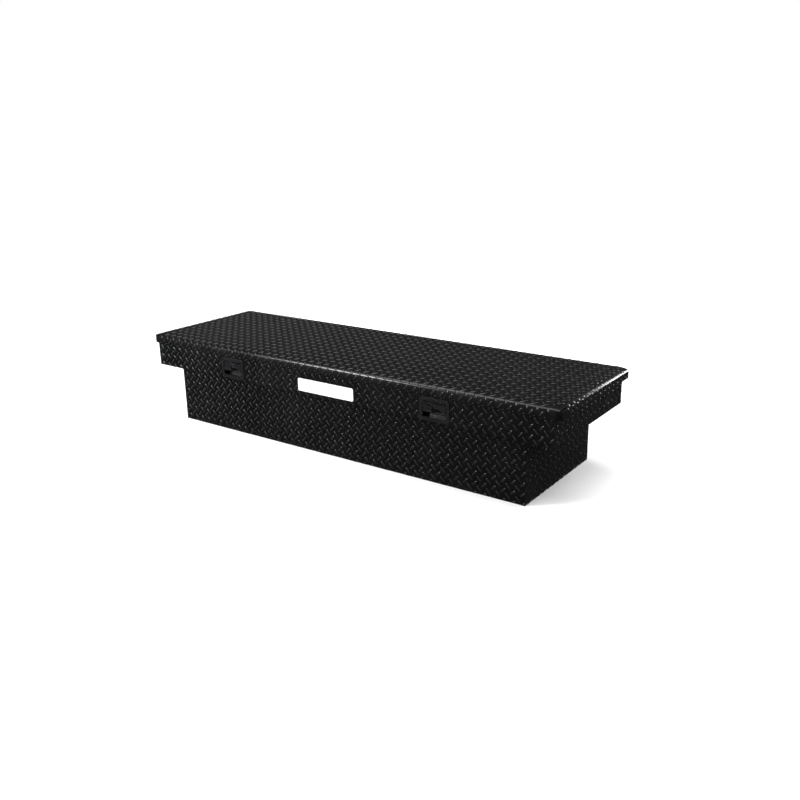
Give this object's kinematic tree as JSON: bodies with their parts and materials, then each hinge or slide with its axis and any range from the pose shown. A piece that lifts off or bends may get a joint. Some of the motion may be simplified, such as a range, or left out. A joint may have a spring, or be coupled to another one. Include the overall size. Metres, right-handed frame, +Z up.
{
  "type": "crossover truck tool box",
  "caption": "Crossover pickup tool box in black tread plate: stepped tub with saddle wings, single hinged lid on gas struts, paddle latches.",
  "frame": {"origin": "floor plane, at the centre of the whole box's footprint", "axes": "+X along the box towards the right wing as seen from the latch side, -Y towards the latches, +Z up"},
  "size_m": [1.78, 0.526, 0.346],
  "materials": {
    "tread_plate": "semi-gloss black powder coat over aluminium tread plate",
    "pan_sheet": "semi-gloss black powder coat on plain aluminium sheet",
    "seal_rubber": "black foam rubber",
    "label_plate": "white enamel on a plain plate, left blank",
    "hinge_steel": "stainless piano hinge, coated black with the box",
    "rivet_alloy": "painted round-head rivets",
    "bracket_zinc": "zinc-plated pressed steel",
    "pin_steel": "bright steel",
    "strut_paint": "gloss black paint on steel tube",
    "rod_chrome": "hard chrome",
    "socket_plastic": "black nylon",
    "latch_black": "gloss black powder coat on pressed and cast steel",
    "lock_chrome": "black-chromed zinc lock"
  },
  "bodies": {
    "tub": {"front_panel": "tread_plate", "rear_panel": "tread_plate", "floor_pan": "tread_plate", "left_end": "tread_plate", "right_end": "tread_plate", "weather_seal": "seal_rubber", "nameplate": "label_plate", "hinge_leaf_tub": "hinge_steel", "hinge_pin": "hinge_steel", "hinge_rivets_tub": "rivet_alloy", "left_strut_tub_bracket": "bracket_zinc", "right_strut_tub_bracket": "bracket_zinc", "strut_rivets_tub": "rivet_alloy", "left_latch_dish": "latch_black", "right_latch_dish": "latch_black", "left_latch_gasket": "seal_rubber", "right_latch_gasket": "seal_rubber", "latch_nuts": "pin_steel", "left_paddle_pin": "pin_steel", "right_paddle_pin": "pin_steel", "left_latch_frame": "bracket_zinc", "right_latch_frame": "bracket_zinc", "left_catch_pin": "pin_steel", "right_catch_pin": "pin_steel", "left_catch_spring": "pin_steel", "right_catch_spring": "pin_steel"},
    "lid": {"lid_skin": "tread_plate", "lid_inner_pan": "pan_sheet", "lid_stiffeners": "pan_sheet", "hinge_leaf_lid": "hinge_steel", "hinge_rivets_lid": "rivet_alloy", "left_strut_lid_bracket": "bracket_zinc", "right_strut_lid_bracket": "bracket_zinc", "strut_rivets_lid": "rivet_alloy", "left_striker": "bracket_zinc", "right_striker": "bracket_zinc", "left_striker_plate": "bracket_zinc", "right_striker_plate": "bracket_zinc", "striker_rivets": "rivet_alloy"},
    "left_tube": {"left_strut_tube": "strut_paint", "left_tube_socket": "socket_plastic"},
    "left_rod": {"left_strut_rod": "rod_chrome", "left_rod_socket": "socket_plastic"},
    "left_paddle_body": {"left_paddle": "latch_black", "left_paddle_spring": "pin_steel"},
    "left_lock": {"left_lock_barrel": "lock_chrome", "left_lock_cam": "lock_chrome"},
    "left_catch_body": {"left_catch": "bracket_zinc"},
    "right_tube": {"right_strut_tube": "strut_paint", "right_tube_socket": "socket_plastic"},
    "right_rod": {"right_strut_rod": "rod_chrome", "right_rod_socket": "socket_plastic"},
    "right_paddle_body": {"right_paddle": "latch_black", "right_paddle_spring": "pin_steel"},
    "right_lock": {"right_lock_barrel": "lock_chrome", "right_lock_cam": "lock_chrome"},
    "right_catch_body": {"right_catch": "bracket_zinc"}
  },
  "joints": [
    {"name": "lid_hinge", "type": "hinge", "parent": "tub", "child": "lid", "pos_m": [0, 0.26, 0.3274], "axis": [-1, 0, 0], "range_deg": [0, 75]},
    {"name": "left_tube_pivot", "type": "hinge", "parent": "tub", "child": "left_tube", "pos_m": [-0.749, 0.2153, 0.1171], "axis": [-1, 0, 0], "range_deg": [0, 37.5]},
    {"name": "left_rod_pivot", "type": "hinge", "parent": "lid", "child": "left_rod", "pos_m": [-0.749, 0.04709, 0.29748], "axis": [1, 0, 0], "range_deg": [0, 37.5]},
    {"name": "right_tube_pivot", "type": "hinge", "parent": "tub", "child": "right_tube", "pos_m": [0.749, 0.2153, 0.1171], "axis": [-1, 0, 0], "range_deg": [0, 37.5]},
    {"name": "right_rod_pivot", "type": "hinge", "parent": "lid", "child": "right_rod", "pos_m": [0.749, 0.04709, 0.29748], "axis": [1, 0, 0], "range_deg": [0, 37.5]},
    {"name": "left_paddle_pull", "type": "hinge", "parent": "tub", "child": "left_paddle_body", "pos_m": [-0.452, -0.25, 0.2823], "axis": [-1, 0, 0], "range_deg": [0, 22], "stiffness_Nm_per_rad": 0.6, "springref_deg": -17.19},
    {"name": "left_lock_turn", "type": "hinge", "parent": "left_paddle_body", "child": "left_lock", "pos_m": [-0.452, -0.25, 0.2603], "axis": [0, 1, 0], "range_deg": [0, 90]},
    {"name": "left_catch_swing", "type": "hinge", "parent": "tub", "child": "left_catch_body", "pos_m": [-0.452, -0.2088, 0.2758], "axis": [1, 0, 0], "range_deg": [0, 22]},
    {"name": "right_paddle_pull", "type": "hinge", "parent": "tub", "child": "right_paddle_body", "pos_m": [0.452, -0.25, 0.2823], "axis": [-1, 0, 0], "range_deg": [0, 22], "stiffness_Nm_per_rad": 0.6, "springref_deg": -17.19},
    {"name": "right_lock_turn", "type": "hinge", "parent": "right_paddle_body", "child": "right_lock", "pos_m": [0.452, -0.25, 0.2603], "axis": [0, 1, 0], "range_deg": [0, 90]},
    {"name": "right_catch_swing", "type": "hinge", "parent": "tub", "child": "right_catch_body", "pos_m": [0.452, -0.2088, 0.2758], "axis": [1, 0, 0], "range_deg": [0, 22]}
  ],
  "couplings": [
    {"joint": "left_tube_pivot", "follows": "lid_hinge", "ratio": 0.5},
    {"joint": "left_rod_pivot", "follows": "lid_hinge", "ratio": 0.5},
    {"joint": "right_tube_pivot", "follows": "lid_hinge", "ratio": 0.5},
    {"joint": "right_rod_pivot", "follows": "lid_hinge", "ratio": 0.5},
    {"joint": "left_catch_swing", "follows": "left_paddle_pull", "ratio": 1},
    {"joint": "right_catch_swing", "follows": "right_paddle_pull", "ratio": 1}
  ]
}
